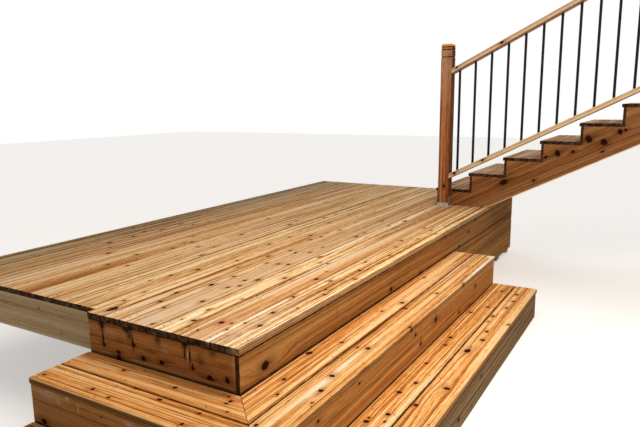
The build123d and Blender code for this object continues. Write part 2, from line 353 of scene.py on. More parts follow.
def cedarMaterial(name):
    # The log's years are rings about its axis, and a board's faces cut them into long lines.
    # Each pattern is read at a place that runs slowly along the grain and fast across it.
    look = cedarLooks[name]
    material, tree, shader = newMaterial(name)

    def node(kind, *values, **settings):
        return addNode(tree, kind, *values, **settings)

    def pattern(key, place, output=0):
        # Noise read at the place times how often the pattern repeats.
        detail, repeats = cedarPatterns[key]
        place = node("VectorMath MULTIPLY", place, repeats)
        links = {"Vector": place, "Scale": 1.0, "Detail": detail, "Roughness": cedarShape["noiseRoughness"]}
        return node("TexNoise", links, output=output)

    grain = node("Attribute", output=1, attribute_name="grain")
    tone = node("SeparateXYZ", node("Attribute", output=1, attribute_name="tone"))
    lightness, redness, shift = tone.node.outputs
    edge, stain, endGrain, side = (node("Attribute", output=2, attribute_name=key)
                                   for key in ("edge", "stain", "endGrain", "side"))
    along = node("SeparateXYZ", grain)

    # The rings wander: smooth noise moves each place sideways before its radius is taken.
    half = (0.5, 0.5, 0.5)
    wander = node("VectorMath SUBTRACT", pattern("wander", grain, 1), half)
    bent = node("VectorMath MULTIPLY_ADD", wander, (0.0, cedarShape["wander"], cedarShape["wander"]), grain)
    radius = node("VectorMath LENGTH", node("VectorMath MULTIPLY", bent, (0, 1, 1)), output=1)

    # Knots: branches cut across, each a ragged oval. Rings bulge round them by
    # exp(-(across / 1.7 r)^2 - (along / 4 r)^2).
    ragged = node("VectorMath SUBTRACT", pattern("ragged", grain, 1), half)
    cores, humps = [], []
    for attribute in ("knotNear", "knotNext"):
        centre = node("Attribute", output=1, attribute_name=attribute)
        size = node("SeparateXYZ", centre, output=2)
        chance = node("TexWhiteNoise", centre, noise_dimensions="3D")
        away = node("VectorMath SUBTRACT", grain, centre)
        rough = node("VectorMath SCALE", {0: ragged, "Scale": size})
        push = cedarShape["knotRagged"]
        away = node("VectorMath MULTIPLY_ADD", rough, (push, push, 0.0), away)
        sides = (node("MapRange", chance, *cedarRanges[key]) for key in ("knotLength", "knotWidth"))
        oval = node("CombineXYZ", *sides)
        for found, shape in ((cores, oval), (humps, cedarShape["knotReach"])):
            far = node("VectorMath LENGTH", node("VectorMath MULTIPLY", away, shape), output=1)
            found.append(node("Math DIVIDE", far, size))
        humps[-1] = node("Math EXPONENT", node("Math MULTIPLY", node("Math POWER", humps[-1], 2.0), -1.0))
        hump = node("Math MULTIPLY", humps[-1], size)
        radius = node("Math MULTIPLY_ADD", hump, cedarShape["knotPush"], radius)
    nearest = node("Math MINIMUM", *cores)
    core = node("MapRange", nearest, *cedarRanges["core"])
    halo = node("Math MULTIPLY", node("Math MAXIMUM", *humps), cedarFinish["haloMix"])

    # Years: unevenly spaced, each a slow rise to a dark line and a sharp step back.
    runs = pattern("uneven", node("CombineXYZ", radius, shift))
    years = node("Math MULTIPLY_ADD", runs, cedarShape["uneven"], radius)
    year = node("Math FRACT", node("Math DIVIDE", years, look["ringSpacing"]))
    ring = node("CombineXYZ", radius, along, shift)
    values = {"band": pattern("band", ring), "streak": pattern("streak", ring)}
    values["year"] = node("ValToRGB", year, stops=cedarShape["year"])
    line = node("Math ABSOLUTE", node("Math SUBTRACT", values["band"], 0.5))
    values["line"] = node("MapRange", line, *cedarRanges["line"])
    values["fibre"] = pattern("fibre", bent)
    middle = sum(weight * middle for weight, middle in cedarWeights.values())
    dark = look["balance"] - look["contrast"] * middle
    for key, (weight, _) in cedarWeights.items():
        dark = node("Math MULTIPLY_ADD", values[key], weight * look["contrast"], dark)

    # Colour, laid on from the broadest change to the smallest. Arrises are paler, worn and with a
    # painted highlight; narrow sides take painted shade; end grain drinks oil and goes dark; runs of
    # water leave stains. The stain layer also paints shade in gaps, grooves and under overhangs, and
    # below 0 it paints pale wood: bleached and rubbed marks and painted highlights.
    fleck = node("MapRange", pattern("fleck", bent), *cedarRanges["fleck"])
    fleck = node("Math MULTIPLY", fleck, cedarFinish["fleckMix"])
    paintedSideShade = node("Math MULTIPLY", side, cedarFinish["paintedOwnSideShade" if "side" in look else "paintedSameSideShade"])
    paleAndHighlit = node("Math MULTIPLY", stain, -1.0)
    scrapedAndHighlit = node("MapRange", paleAndHighlit, *cedarRanges["scrapedAndHighlit"])
    blotch, worn, thirst = (node("MapRange", pattern(key, grain), *cedarRanges[key])
                            for key in ("blotch", "worn", "thirst"))
    heart = node("ValToRGB", nearest, stops=[(place, look[key]) for place, key in cedarShape["heart"]])
    colour = node("ValToRGB", dark, stops=list(zip(cedarShape["tonePlaces"], look["tones"])))
    wood = (
        (redness, look["ruddy"]),
        (paintedSideShade, look.get("side", look["tones"][2])),
        (fleck, look["tones"][-1]),
    )
    weather = (
        (node("Math MULTIPLY", blotch, paleAndHighlit, use_clamp=True), look["scuff"]),
        (halo, look["halo"]),
        (core, heart),
        (node("Math MULTIPLY", worn, edge), look["arris"]),
        (node("Math MULTIPLY", endGrain, thirst), look["end"]),
        (node("Math MULTIPLY", blotch, stain, use_clamp=True), look["stain"]),
        (node("Math MULTIPLY", scrapedAndHighlit, blotch), look["scuff"]),
    )
    for layers in (wood, weather):
        for amount, over in layers:
            colour = node("Mix", {0: amount, 6: colour, 7: over}, output=2, data_type="RGBA")
        if layers is wood:
            colour = node("VectorMath SCALE", {0: colour, "Scale": lightness})
    gloss = cedarFinish["specular"]
    relief = node("Math MULTIPLY_ADD", values["year"], cedarFinish["yearRelief"], values["fibre"])
    relief = node("Math SUBTRACT", relief, core)
    feed(tree, shader, {
        "Base Color": colour,
        "Roughness": node("MapRange", dark, 0.0, 1.0, *cedarFinish["roughness"]),
        "Specular IOR Level": node("Math MULTIPLY_ADD", core, -cedarFinish["knotDull"] * gloss, gloss),
        "Normal": node("Bump", {"Strength": cedarFinish["bump"], "Distance": cedarFinish["reliefDepth"],
                                "Height": relief}),
    })
    return material


cedars = {name: cedarMaterial(name) for name in cedarLooks}
print("cedar materials made:", len(cedars))


# Boards: a rounded section carried along the grain

boardMake = {
    "arris": 0.003,  # radius of the eased edges
    "plainArris": 0.002,  # of the framing
    "arrisSteps": 3,
    "acrossStep": 0.036,
    "alongStep": 0.045,
    "plainStep": 0.135,  # of the framing
    "finestStep": 0.002,  # between columns that a mark adds
    "markSteps": np.linspace(-2, 2, 9),  # rows and columns that a mark adds, in its half widths
    "openSteps": (1, 2),  # columns that an open end adds, in its depth
    "endShare": 0.001,  # of the length, nearer the ends than which none is added
    "waveShares": (1.0, 0.55, 0.3),  # lengths and heights of three sines
    "crown": 0.0004,  # rise and fall along a board
    "crownLength": 1.1,
    "cup": 0.0006,
    "waver": 0.0005,  # how far each edge wanders sideways
    "waverLength": 0.9,
    "figureAside": (0.0, 0.02),  # where rings swell into arches, the log's axis is behind
    "pithDepth": (0.04, 0.16),  # of the log's axis, behind the face
    "logShift": (3, 40),  # along the log, so that no two boards share a stretch
    "screwInset": 0.022,  # from a board's edge
    "screwStray": (0.004, 0.003),  # how far a screw strays along and across
    "paintedGapShade": 0.5,  # painted shade on the arrises beside a gap in the deck
    "paintedTreadGapShade": 0.8,  # in the steps
    "paintedGapDepthShade": 3.0,  # painted shade within a gap
    "faceReach": 1.5,  # in arris radii: deeper and nearer the edges, the painted shade of gaps stands in for stains
    "gapDepth": 0.6,
    "openEnd": 0.012,  # the painted gap shade is lifted this far into a gap's open end, where light reaches
    "openLight": 0.9,
}
knotMake = {
    "edge": 0.004,  # chance knots stay this far from a board's edges
    "least": 0.0022,  # radius
    "spread": 0.004,
    "bigShare": 0.2,
    "bigger": 0.004,
    "clear": 0.05,  # from knot to knot, with the way along the grain counted as a share
    "clearShare": 0.7,
    "reachShare": 0.6,  # of the way along the grain, where a knot reaches a face
    "reachRadii": 1.5,
    "rim": 4.0,  # millimetres across, that a knot's dark rim adds to the core
    "none": (-99, -99, 0.0001),  # a far small one, where a board has fewer than two
}


def solidsOf(node):
    # Boxes of a node's separate solids. Corners that meet share a label, and each label
    # takes the lowest one among its triangles until nothing changes.
    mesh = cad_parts[node].data
    points = np.array([v.co[:] for v in mesh.vertices])
    mesh.calc_loop_triangles()
    corners = np.zeros(len(mesh.loop_triangles) * 3, np.int32)
    mesh.loop_triangles.foreach_get("vertices", corners)
    _, same = np.unique(np.round(points, 5), axis=0, return_inverse=True)
    same = same.reshape(-1)
    triangles = same[corners].reshape(-1, 3)
    label = np.arange(same.max() + 1)
    while True:
        lowest = label[triangles].min(1)
        merged = label.copy()
        np.minimum.at(merged, triangles.ravel(), np.repeat(lowest, 3))
        if (merged == label).all():
            break
        label = merged
    mine = label[same]
    return [(points[mine == k].min(0), points[mine == k].max(0)) for k in np.unique(mine)]


def sectionRing(width, thickness, arris, steps, extra=()):
    # Rounded rectangle: the show face from left to right, then the back from right to left.
    # In an arris of radius r, across = r (1 - cos a) and depth = r (1 - sin a).
    angle = np.linspace(0, math.pi / 2, steps + 1)
    corner = arris * (1 - np.cos(angle))
    sunk = arris * (1 - np.sin(angle))
    columns = max(2, int(round(width / boardMake["acrossStep"])) + 1)
    middle = np.linspace(2 * arris, width - 2 * arris, columns)
    extra = [v for v in extra if 2 * arris < v < width - 2 * arris]
    middle = np.unique(np.round(np.concatenate([middle, extra]), 3))
    flat = np.zeros(len(middle))
    side = min(2 * arris, thickness / 2)
    across = np.concatenate([[0], corner, middle, width - corner[::-1], [width]])
    depth = np.concatenate([[side], sunk, flat, sunk[::-1], [side]])
    edge = np.concatenate([[0], np.ones(steps + 1), flat, np.ones(steps + 1), [0]])
    return (np.concatenate([across, across[::-1]]), np.concatenate([depth, thickness - depth[::-1]]),
            np.concatenate([edge, edge[::-1]]))


def ringFaces(stations, ring):
    # Quads between neighbouring stations, and a ladder of quads across each end.
    i = np.arange(stations - 1)[:, None]
    j = np.arange(ring)[None, :]
    k = (j + 1) % ring
    sides = np.stack([i * ring + j, (i + 1) * ring + j, (i + 1) * ring + k, i * ring + k], -1)
    sides = sides.reshape(-1, 4)
    rung = np.arange(ring // 2 - 1)
    start = np.stack([rung, rung + 1, ring - 2 - rung, ring - 1 - rung], -1)
    end = start[:, ::-1] + (stations - 1) * ring
    isEnd = np.concatenate([np.zeros(len(sides)), np.ones(2 * len(start))])
    return np.concatenate([sides, start, end]), isEnd


def waves(places, phases, length):
    # Sum of three sines of falling length and height, between -1 and 1.
    shares = boardMake["waveShares"]
    total = sum(share * np.sin(2 * math.pi * (places / (length * share) + phase))
                for share, phase in zip(shares, phases))
    return total / sum(shares)


def inLog(points, way, rng, aside):
    # Where each point lies in its log: along, across and behind the face, from the log's axis.
    origin, along, across, normal = way
    local = points - origin
    shift = np.array([rng.uniform(*boardMake["logShift"]), rng.choice([-1, 1]) * rng.uniform(*aside),
                      rng.choice([-1, 1]) * rng.uniform(*boardMake["pithDepth"])])
    return np.stack([local @ along, local @ across, -(local @ normal)], -1) + shift, shift


def nearestKnots(centres, knots, shift):
    # For each face the two nearest knots, as along, across and radius in the log. A knot reaches
    # farther along the grain, and a big one farther than a small one.
    places = np.array([*knots, knotMake["none"], knotMake["none"]], float)
    places[:, :2] += shift[:2]
    along, across, _ = np.moveaxis(centres[:, None] - places[None], -1, 0)
    away = np.hypot(along * knotMake["reachShare"], across)
    order = np.argsort(away - knotMake["reachRadii"] * places[:, 2], axis=1)
    return places[order[:, 0]], places[order[:, 1]]


def scatteredKnots(length, width, look, seen, rng):
    # Knots by chance, kept clear of those placed by eye. Most are small.
    knots = list(seen)
    for _ in range(rng.poisson(cedarLooks[look]["knotsPerSquareMetre"] * length * width)):
        along, across = rng.uniform(0, length), rng.uniform(knotMake["edge"], width - knotMake["edge"])
        radius = knotMake["least"] + knotMake["spread"] * rng.random() ** 2
        radius = radius + (knotMake["bigger"] if rng.random() < knotMake["bigShare"] else 0.0)
        if all(math.hypot((along - a) * knotMake["clearShare"], across - b) > knotMake["clear"] + r + radius
               for a, b, r in knots):
            knots.append((along, across, radius))
    return knots


def boardTone(rng, look):
    # Lightness, redness and a shift of the pattern, by chance.
    spread = cedarLooks[look]["boardSpread"]
    return (1 + spread * rng.uniform(-1, 1), rng.uniform(0, cedarLooks[look]["ruddiest"]), rng.random())


def finishPart(points, faces, isEnd, edge, way, knots, tone, rng, aside):
    # Turns the faces outwards and adds what the cedar material reads.
    if np.dot(np.cross(way[1], way[2]), way[3]) < 0:
        faces = faces[:, ::-1]
    grain, shift = inLog(points, way, rng, aside)
    near, following = nearestKnots(grain[faces].mean(1), knots, shift)
    return {"points": points, "faces": faces, "endGrain": isEnd, "side": np.zeros(len(faces)), "edge": edge,
            "grain": grain, "knotNear": near, "knotNext": following, "tone": np.tile(tone, (len(faces), 1)),
            "stain": np.zeros(len(points))}


def board(way, size, look, seed, seen=(), tint=(1.0, 0.0), cuts=(0, 0), window=None, fine=True,
          stations=None, inset=None, marks=(), figures=(), screws=(), gapSides=(False, False),
          gapKey="paintedGapShade"):
    # Point (i, j) = origin + along * (start + t[i] (end - start)) + across * v[j] - normal * d[j].
    # Each end leans by its cut times v. A window keeps part of the board.
    rng = np.random.default_rng(seed)
    length, width, thickness = size
    tone = boardTone(rng, look)
    tone = (tone[0] * tint[0], tone[1] + tint[1], tone[2])
    knots = scatteredKnots(length, width, look, seen, rng)
    crownPhases, leftPhases, rightPhases, cup = rng.random(3), rng.random(3), rng.random(3), rng.random()
    first, last, left, right = window or (0, length, 0, width)
    arris = boardMake["arris" if fine else "plainArris"]
    arrisSteps = boardMake["arrisSteps"] if fine else 1
    # More rows and columns where a mark needs them.
    steps, shapes = boardMake["markSteps"], [*marks, *figures]
    rows = [b + step * halfB - left for a, b, halfA, halfB, amount in shapes for step in steps]
    across, depth, edge = sectionRing(right - left, thickness, arris, arrisSteps, rows)
    if stations is None:
        spacing = boardMake["alongStep" if fine else "plainStep"]
        columns = [(a + step * halfA - first) / (last - first) for a, b, halfA, halfB, amount in shapes
                   for step in steps]
        columns += [boardMake["openEnd"] * step / (last - first)
                    for step in boardMake["openSteps"] if gapSides[0]]
        columns = [t for t in columns if boardMake["endShare"] < t < 1 - boardMake["endShare"]]
        stations = np.concatenate([np.linspace(0, 1, max(2, int((last - first) / spacing) + 1)), columns])
        grid = (last - first) / boardMake["finestStep"]
        stations = np.unique(np.round(stations * grid)) / grid
        stations = np.append(stations[stations < 1 - 1 / grid], 1.0)
        inset = np.zeros(len(stations))
    t, inset = stations[:, None], inset[:, None]

    def sinking(s, v):
        # How far the surface lies below the flat board: crown along it and cup across it.
        return (boardMake["crown"] * (1 + waves(s, crownPhases, boardMake["crownLength"]))
                + boardMake["cup"] * cup * (2 * v / width - 1) ** 2)

    start = first + cuts[0] * across
    s = start + t * (last + cuts[1] * across - start)
    v = left + across + inset * (1 - 2 * across / width)
    inward = [1 + waves(s, phases, boardMake["waverLength"]) for phases in (leftPhases, rightPhases)]
    v = v + boardMake["waver"] * (inward[0] * (1 - v / width) - inward[1] * v / width)
    d = depth + inset * (1 - 2 * depth / thickness) + (sinking(s, v) if fine else 0)
    origin, alongWay, acrossWay, normal = way
    points = origin + s[..., None] * alongWay + v[..., None] * acrossWay - d[..., None] * normal
    points = points.reshape(-1, 3)
    faces, isEnd = ringFaces(len(t), len(across))
    for place in screws:
        for v0 in (boardMake["screwInset"], width - boardMake["screwInset"]):
            strays = [rng.uniform(-stray, stray) for stray in boardMake["screwStray"]]
            u, v1 = place + strays[0], v0 + strays[1]
            if first < u < last and left < v1 < right:
                screwPlaces.append(origin + u * alongWay + v1 * acrossWay - sinking(u, v1) * normal)
    aside = boardMake["figureAside"] if figures else cedarLooks[look]["aside"]
    part = finishPart(points, faces, isEnd, np.tile(edge, len(t)), way, knots, tone, rng, aside)

    # Marks darken or lighten the wood (stains, wear, painted shade and painted highlights) and
    # figures swell the rings, each by amount * exp(-(along / a)^2 - (across / b)^2).
    stain, swelling = (sum((amount * np.exp(-((s - a) / halfA) ** 2 - ((v - b) / halfB) ** 2)
                            for a, b, halfA, halfB, amount in items), np.zeros_like(s))
                       for items in (marks, figures))
    part["grain"][:, 2] += swelling.ravel()
    # Beside a gap the sides get painted shade, lifted near the gap's open end where light reaches in.
    reach = boardMake["faceReach"] * arris
    stain = stain * (depth < reach)
    inGap = (gapSides[0] & (across < reach)) | (gapSides[1] & (across > right - left - reach))
    lit = gapSides[0] * np.exp(-((s - first) / boardMake["openEnd"]) ** 2) * (depth > arris)
    isDeep = depth > arris * boardMake["gapDepth"]
    paintedGapShade = np.where(isDeep, boardMake["paintedGapDepthShade"], boardMake[gapKey])
    paintedGapShade = paintedGapShade * (1 - boardMake["openLight"] * lit)
    part["stain"] = np.where(inGap, np.maximum(stain, paintedGapShade), stain).ravel()
    part["edge"] = part["edge"] * ~np.tile(inGap, len(t))
    isSide = (across == np.roll(across, -1)) & ((across == 0) | (across == across.max()))
    part["side"][:(len(t) - 1) * len(across)] = np.tile(isSide, len(t) - 1)
    return part


def wayOf(low, high, along, face):
    # Axes of a board that fills a box: along its grain, across it and out of its show face.
    axes = np.eye(3)
    sign = 1 if face[0] == "+" else -1
    out = "xyz".index(face[1])
    over = 3 - along - out
    origin = np.array(low, float)
    if sign > 0:
        origin[out] = high[out]
    size = np.array(high) - np.array(low)
    return (origin, axes[along], axes[over], sign * axes[out]), (size[along], size[over], size[out])


sharpTurn = 40  # degrees between two faces


def meshOf(name, points, faces):
    # A smooth mesh whose edges are sharp where its faces turn.
    mesh = bpy.data.meshes.new(name)
    mesh.from_pydata(points.tolist(), [], [list(dict.fromkeys(f)) for f in faces.tolist()])
    mesh.polygons.foreach_set("use_smooth", np.ones(len(faces), bool))
    mesh.update()
    mesh.set_sharp_from_angle(angle=math.radians(sharpTurn))
    return mesh


def placePiece(name, mesh, material, slot, *nodes):
    # A piece of the scene that rides on the body and stands for its CAD nodes.
    mesh.materials.append(material)
    piece = bpy.data.objects.new(name, mesh)
    bpy.context.scene.collection.objects.link(piece)
    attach(piece, "root")
    if nodes:
        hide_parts(*nodes)


def woodPiece(name, parts, look, slot, node):
    # One mesh of all the parts, laid end to end, with the attributes that the cedar reads.
    starts = np.cumsum([0] + [len(part["points"]) for part in parts])
    joined = {key: np.concatenate([part[key] for part in parts]) for key in parts[0] if key != "faces"}
    faces = np.concatenate([part["faces"] + start for part, start in zip(parts, starts)])
    mesh = meshOf(name, joined["points"], faces)
    for domain, kind, field, keys in (
            ("POINT", "FLOAT_VECTOR", "vector", ("grain",)), ("POINT", "FLOAT", "value", ("edge", "stain")),
            ("FACE", "FLOAT_VECTOR", "vector", ("knotNear", "knotNext", "tone")),
            ("FACE", "FLOAT", "value", ("endGrain", "side"))):
        for key in keys:
            attribute = mesh.attributes.new(key, kind, domain)
            attribute.data.foreach_set(field, joined[key].astype(np.float32).ravel())
    placePiece(name, mesh, cedars[look], slot, node)


readingMiss = (0.01, 0.004)  # how far off a board's ends and edges a reading may lie, metres
endless = 1e6  # half length of a mark that runs all along its board


def onBoard(readings, way, size):
    # What was read off the photograph on one board: along and across it, and the reading's rest.
    origin, along, across, normal = way
    axis = int(np.argmax(np.abs(normal)))
    for x, y, *rest in readings:
        point = seenOn(axis, origin[axis], (x, y)) - origin
        s, v = point @ along, point @ across
        if all(-miss < at < side + miss for at, side, miss in zip((s, v), size, readingMiss)):
            yield s, v, rest


def seenKnots(node, way, size):
    # Along, across and radius, from diameters in millimetres.
    return [(s, v, (diameter + knotMake["rim"]) / 2000)
            for s, v, (diameter,) in onBoard(knotPixels.get(node, ()), way, size)]


def seenBoard(node, way, size, look, seed, **more):
    # A board with the knots, marks, figures, painted shade lines and tint that the photograph shows on it.
    # Half lengths and half widths are read in millimetres, and a line of painted shade is a mark without
    # end.
    marks, figures = ([(s, v, a / 1000, b / 1000, amount)
                       for s, v, (a, b, amount) in onBoard(readings.get(node, ()), way, size)]
                      for readings in (markPixels, figurePixels))
    marks += [(0, height, endless, half, strength) for height, half, strength in paintedShadeLines.get(node, ())]
    seen = {"seen": seenKnots(node, way, size), "tint": tints.get(node, (1.0, 0.0)), "marks": marks,
            "figures": figures}
    return board(way, size, look, seed, **{**seen, **more})


def pieceName(node):
    # deck_front_rim becomes deckFrontRim.
    first, *others = node.split("_")
    return first + "".join(word.capitalize() for word in others)


def boardPiece(node, slot, look, along=None, face=None, seed=None, holds=(), **more):
    # A piece made of a board for each of its node's solids, screwed where something holds it.
    # Without a grain axis, each board's grain runs along its longer level side.
    name = pieceName(node)
    seed = seedOf(name) if seed is None else seed
    parts = []
    for i, (low, high) in enumerate(solidsOf(node)):
        axis = int(np.argmax((high - low)[:2])) if along is None else along
        way, size = wayOf(low, high, axis, face or ("-y", "-x")[axis])
        screws = [x - low[axis] for x in holds]
        parts.append(seenBoard(node, way, size, look, seed + i, screws=screws, **more))
    woodPiece(name, parts, look, slot, node)


# Knots that show in the photograph, read off it: pixel and diameter in millimetres.
knotPixels = {
    "deck_boards": [
        (109.5, 242.7, 24), (133.3, 236.3, 16), (132.5, 228, 12), (144.2, 231.3, 14), (162.5, 229.2, 16),
        (181, 224, 16), (193, 224.7, 14), (108.3, 253, 22), (110, 247.5, 9), (136.5, 254.5, 16),
        (136.3, 259.7, 14), (108, 264.2, 12), (127.5, 265.5, 11), (173.3, 248, 16), (184.2, 243, 14),
        (191.7, 242, 12), (193.5, 236, 14), (198.3, 246.7, 14), (214, 247, 12), (201.5, 255, 16),
        (198, 269.5, 16), (170.8, 275.3, 13), (211.5, 284.7, 20), (176.7, 292.5, 14), (150, 280.3, 8),
        (144.2, 292, 9), (165, 291.8, 8), (124.2, 300.5, 8), (112.5, 308.7, 34), (160.5, 301.2, 13),
        (163.5, 307.5, 13), (202.5, 301.3, 15), (208.3, 309.5, 9), (193.5, 320.2, 14), (221.3, 322.5, 17),
        (231.7, 323.3, 7), (227.2, 329.5, 8), (197.5, 330.3, 6), (181.7, 319.2, 6), (152.4, 323.8, 9),
        (245, 322.5, 8), (260, 325.7, 14), (273, 312.7, 13), (293.2, 296.7, 11), (297.5, 308, 6),
        (325.3, 289.2, 13), (324.5, 294.4, 12), (330.5, 281, 12), (316.3, 279, 18), (284.5, 278, 15),
        (290, 279.8, 11), (239.5, 285.5, 13), (227.8, 287.2, 12), (244.8, 280.3, 12), (257.5, 279.8, 18),
        (234, 276.3, 13), (238, 267.3, 9), (237.3, 260.5, 11), (268.3, 256, 16), (266.8, 262.9, 12),
        (278.3, 263.9, 13), (288.4, 264.3, 16), (290.2, 250.5, 13), (295.3, 252.6, 13), (310, 252.2, 13),
        (269.2, 244.2, 14), (289.8, 237, 14), (290.2, 224.8, 20), (296.7, 220.8, 13), (268.3, 218.5, 17),
        (236.8, 225.3, 9), (241.4, 234.4, 15), (309.7, 235.2, 18), (310.7, 239.6, 13), (323.8, 217.5, 14),
        (328.4, 222.7, 14), (335.7, 214, 9), (339.9, 230, 13), (327.4, 233, 9), (356.3, 236.5, 20),
        (364.5, 233, 13), (322.9, 247.2, 11), (320, 262.6, 9), (327.5, 263.3, 9), (319.5, 256.8, 9),
        (359.8, 270.5, 14), (355.2, 279, 12), (365.2, 262, 12), (377, 235.6, 9), (401.5, 240.5, 14),
        (396, 246.9, 13), (389.5, 255.3, 12), (424.5, 228, 13), (430.8, 230.3, 9), (446.3, 226, 13),
        (435.8, 234, 9), (417.8, 238.7, 9), (382.2, 221.3, 12), (409.2, 211.2, 12), (296.5, 195, 12),
        (325.4, 202.4, 11), (343.2, 206.7, 10), (351.4, 209.8, 10),
    ],
    "front_fascia_upper": [
        (265.4, 365.8, 30), (303.7, 318.4, 10), (391.2, 289.2, 17), (420.9, 274.8, 22), (246.7, 347.8, 8),
        (445.9, 236, 13), (459.3, 246.3, 13), (468.3, 232, 13), (475.3, 219.5, 13),
    ],
    "end_fascia_upper": [
        (192.7, 368.7, 8), (133.7, 345, 9), (104.2, 344.5, 9), (143.5, 359.2, 18), (161.7, 362.6, 14),
        (209.9, 379.6, 24), (227.4, 380.7, 14), (118.5, 352.5, 12),
    ],
    "end_fascia_lower": [(118.8, 358.2, 20)],
    "upper_step_front_treads": [
        (309, 352.9, 20), (284, 379.2, 11), (341.5, 342.3, 11), (402.3, 302.7, 16), (382, 311.2, 8),
        (424, 277.5, 10), (368, 348.2, 15), (332, 375.7, 15), (320.9, 390.6, 14), (357.5, 347.2, 7),
        (405.8, 308.3, 11), (437, 293.3, 13), (410.7, 327.3, 16), (464, 283.2, 12), (465.8, 276.2, 8),
        (277.5, 394.2, 7), (312, 402.8, 6), (255.8, 425, 8),
    ],
    "upper_step_front_riser": [
        (436, 319.6, 20), (475.3, 286, 12), (459, 312.6, 12), (415.8, 334.8, 9), (420.8, 344, 12),
        (359.5, 383.3, 6), (318.3, 421.3, 8),
    ],
    "lower_step_front_treads": [
        (426.1, 363, 13), (415.7, 382.9, 13), (399, 392.2, 15), (387.8, 414.2, 13), (366, 421.3, 15),
        (368.8, 417.5, 7), (384.5, 421.5, 7), (445.3, 344.9, 13), (450.6, 337.2, 16), (470.7, 312.2, 15),
        (487.8, 306.9, 15), (502.1, 291.2, 14), (517.1, 294.7, 14), (513.5, 301.3, 14),
        (506.8, 307.9, 14), (493.3, 316.2, 14), (508.6, 324.5, 11), (487, 331.5, 14), (482.6, 340, 17),
        (467.5, 350.8, 26), (446.8, 388.4, 20), (416, 405, 13),
    ],
    "lower_step_front_riser": [
        (481.3, 376, 11), (458.6, 420, 12),
    ],
    "upper_step_side_treads": [
        (123.6, 370.2, 9), (175.2, 387.5, 10), (227.2, 411.7, 6), (230.5, 401.2, 10), (226.2, 403.3, 7),
        (228.8, 396.2, 7), (159.5, 399.5, 11), (135.8, 388.3, 7), (199.2, 413.3, 7), (92.5, 389, 10),
        (108.3, 397.4, 7), (44.2, 374.5, 8), (181.7, 423.9, 9),
    ],
    "upper_step_side_riser_lower": [
        (44.2, 421.3, 16), (101.1, 417, 6),
    ],
    "near_stringer": [
        (503.8, 182.2, 36), (557.7, 153.3, 32), (572.7, 151.7, 15), (588.7, 139.3, 38), (604, 142.2, 34),
        (620.2, 131.7, 25), (625.7, 130, 13), (545.7, 157.2, 14), (533.6, 180.5, 13), (602.5, 151.7, 11),
    ],
    "newel": [(443.8, 186, 14)],
    "top_rail": [
        (501.7, 42.5, 16), (456.7, 67.5, 9),
    ],
    "bottom_rail": [
        (454.2, 173.3, 16), (482.5, 160, 13),
    ],
}
# Marks that show there: pixel, half length and half width in millimetres, and strength, where
# above 0 is a dark stain and below 0 is bleached or rubbed wood. On the upper step's front
# treads the pale marks are painted highlights.
markPixels = {
    "deck_boards": [
        (222, 333.5, 330, 7, -1.15), (300, 293, 900, 5, -1.2), (110.5, 309.2, 8, 7, -1.5),
        (244, 334.8, 420, 90, -0.3), (214.5, 327.8, 260, 90, -0.15), (160.2, 315, 240, 90, -0.2),
        (135.1, 309.1, 200, 90, -0.15),
    ],
    "front_fascia_upper": [
        (303.7, 316, 9, 22, 0.5), (391.2, 289.2, 8, 28, 0.7), (420.9, 273, 10, 34, 0.8),
        (265, 365.8, 20, 16, 0.35), (337, 312, 8, 26, 0.35),
    ],
    "end_fascia_upper": [
        (101.5, 325, 14, 28, 1.5), (103, 338, 5, 32, 1.8), (132.8, 345, 6, 24, 2.1),
        (129, 334, 18, 30, 1.1), (125, 330, 14, 14, 1.0), (184.5, 346, 15, 34, 1.5),
        (189.6, 357, 4, 26, 2.4), (187.4, 354, 5, 24, -1.6), (184.6, 354, 3, 22, 1.8),
        (192.4, 366, 4, 12, 1.8), (157, 341, 17, 26, 0.9), (181, 340, 28, 10, 1.4),
        (233.3, 362, 3, 70, -0.8), (212, 352, 17, 24, 0.7), (144, 364, 4, 14, 1.8),
        (209.5, 384, 8, 12, 1.5), (105, 352, 60, 3, 1.3), (150, 352, 34, 7, 0.8),
        (200, 360, 24, 34, 0.55), (110, 332, 30, 10, -0.5), (170, 362, 40, 5, 0.7),
        (222, 366, 34, 8, 0.6), (120, 340, 30, 12, 0.45), (165, 352, 26, 8, -0.35),
    ],
    "end_fascia_lower": [
        (118.8, 356.5, 12, 14, 1.2), (118.8, 359.5, 8, 8, 1.5),
    ],
    # Painted highlights: pale streaks where light glints along the treads and their eased edges.
    "upper_step_front_treads": [
        (458.5, 266.5, 450, 7, -2.1), (482.6, 265.9, 270, 10, -2.1), (490.5, 257.2, 25, 20, -1.9),
        (318, 388, 110, 16, -0.8), (345, 365, 90, 12, -0.7),
    ],
    "upper_step_front_riser": [
        (436, 316, 9, 30, 0.8), (420.8, 341, 9, 24, 0.6), (475.3, 286, 8, 22, 0.5),
        (459, 311, 8, 22, 0.4),
    ],
    "lower_step_front_treads": [
        (467.5, 350.8, 20, 13, 0.7), (475, 348, 40, 24, 0.2), (446.8, 388.4, 7, 6, -1.6),
        (366, 421.3, 14, 10, 0.4),
    ],
    "upper_step_side_riser_top": [
        (66.7, 398.3, 9, 12, -1.3), (129, 425, 20, 9, -1.0), (48, 394, 60, 22, -0.5),
        (78, 409, 5, 16, -0.9), (58, 402, 14, 10, -0.6), (101, 417, 5, 4, 1.5),
    ],
    "upper_step_side_riser_lower": [(78.3, 410, 24, 12, -0.8)],
}
# Figures there, read the same way: the rings swell by the last number, in metres, into arches.
figurePixels = {
    "front_fascia_upper": [(270, 363.5, 130, 30, 0.055)],
    "lower_step_front_treads": [(430, 398, 150, 26, 0.030)],
    "upper_step_front_riser": [(352, 390, 140, 30, 0.022)],
}
